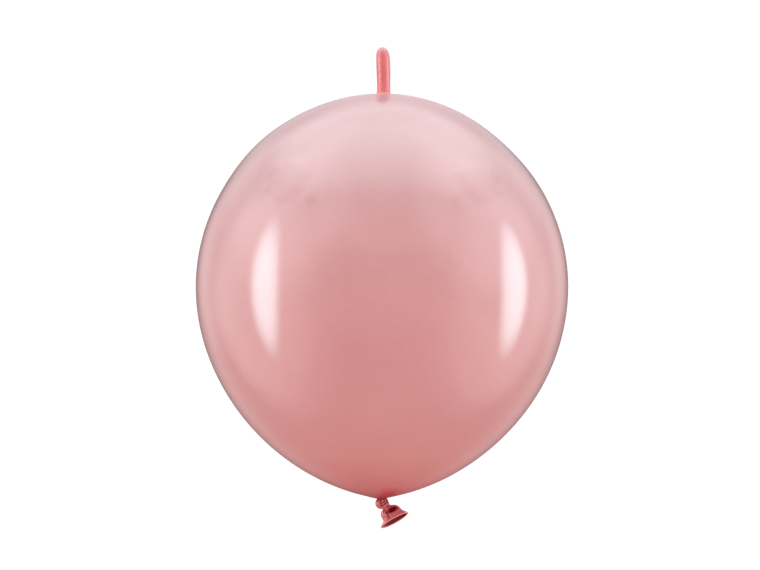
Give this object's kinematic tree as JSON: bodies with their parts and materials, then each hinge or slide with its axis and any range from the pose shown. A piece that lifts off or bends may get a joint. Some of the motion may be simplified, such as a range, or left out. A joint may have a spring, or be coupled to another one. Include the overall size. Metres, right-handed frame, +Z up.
{
  "type": "latex balloon",
  "caption": "Inflated egg-shaped latex balloon with a closed linking tail on the crown and a knotted neck ending in a flared, rolled mouth.",
  "frame": {"origin": "on the balloon's own axis at the lowest point of the body film, where the neck is tied", "axes": "+Z up the balloon's axis through the linking tail, +X the side the mouth hangs towards, +Y the far side away from the viewer"},
  "size_m": [0.33, 0.3298, 0.4267],
  "materials": {
    "film": "glossy, slightly translucent pastel coral",
    "root_film": "glossy, thicker coral film",
    "tail_film": "glossy, less stretched coral film",
    "bunched_film": "glossy, bunched deep coral film",
    "cuff_film": "glossy, unstretched deep coral film"
  },
  "bodies": {
    "balloon": {"balloon_skin": "film", "crown_collar": "root_film"},
    "tail_root": {"tail_lower": "tail_film"},
    "tail_end": {"tail_upper": "tail_film", "tail_tip": "tail_film"},
    "neck": {"neck_gather": "bunched_film"},
    "knot": {"knot_wrap": "bunched_film", "knot_strand": "bunched_film"},
    "mouth": {"mouth_cuff": "cuff_film", "mouth_lip": "cuff_film"}
  },
  "joints": [
    {"name": "tail_lean_side", "type": "hinge", "parent": "balloon", "child": "tail_root", "pos_m": [0, 0, 0.3654], "axis": [0, 1, 0], "range_deg": [-60, 60], "stiffness_Nm_per_rad": 0.0002},
    {"name": "tail_lean_fore", "type": "hinge", "parent": "tail_root", "child": "tail_end", "pos_m": [0, 0, 0.376], "axis": [1, 0, 0], "range_deg": [-55, 55], "stiffness_Nm_per_rad": 0.0002},
    {"name": "neck_twist", "type": "hinge", "parent": "balloon", "child": "neck", "pos_m": [0, 0, 0], "axis": [0, 0, 1], "range_deg": [-180, 180], "stiffness_Nm_per_rad": 0.0002},
    {"name": "knot_lean", "type": "hinge", "parent": "neck", "child": "knot", "pos_m": [0.0018, 0, -0.0052], "axis": [0, 1, 0], "range_deg": [-30, 60], "stiffness_Nm_per_rad": 0.0003},
    {"name": "mouth_flap", "type": "hinge", "parent": "knot", "child": "mouth", "pos_m": [0.0039, 0, -0.00884], "axis": [0.866, 0, 0.5], "range_deg": [-45, 45], "stiffness_Nm_per_rad": 0.0002}
  ]
}
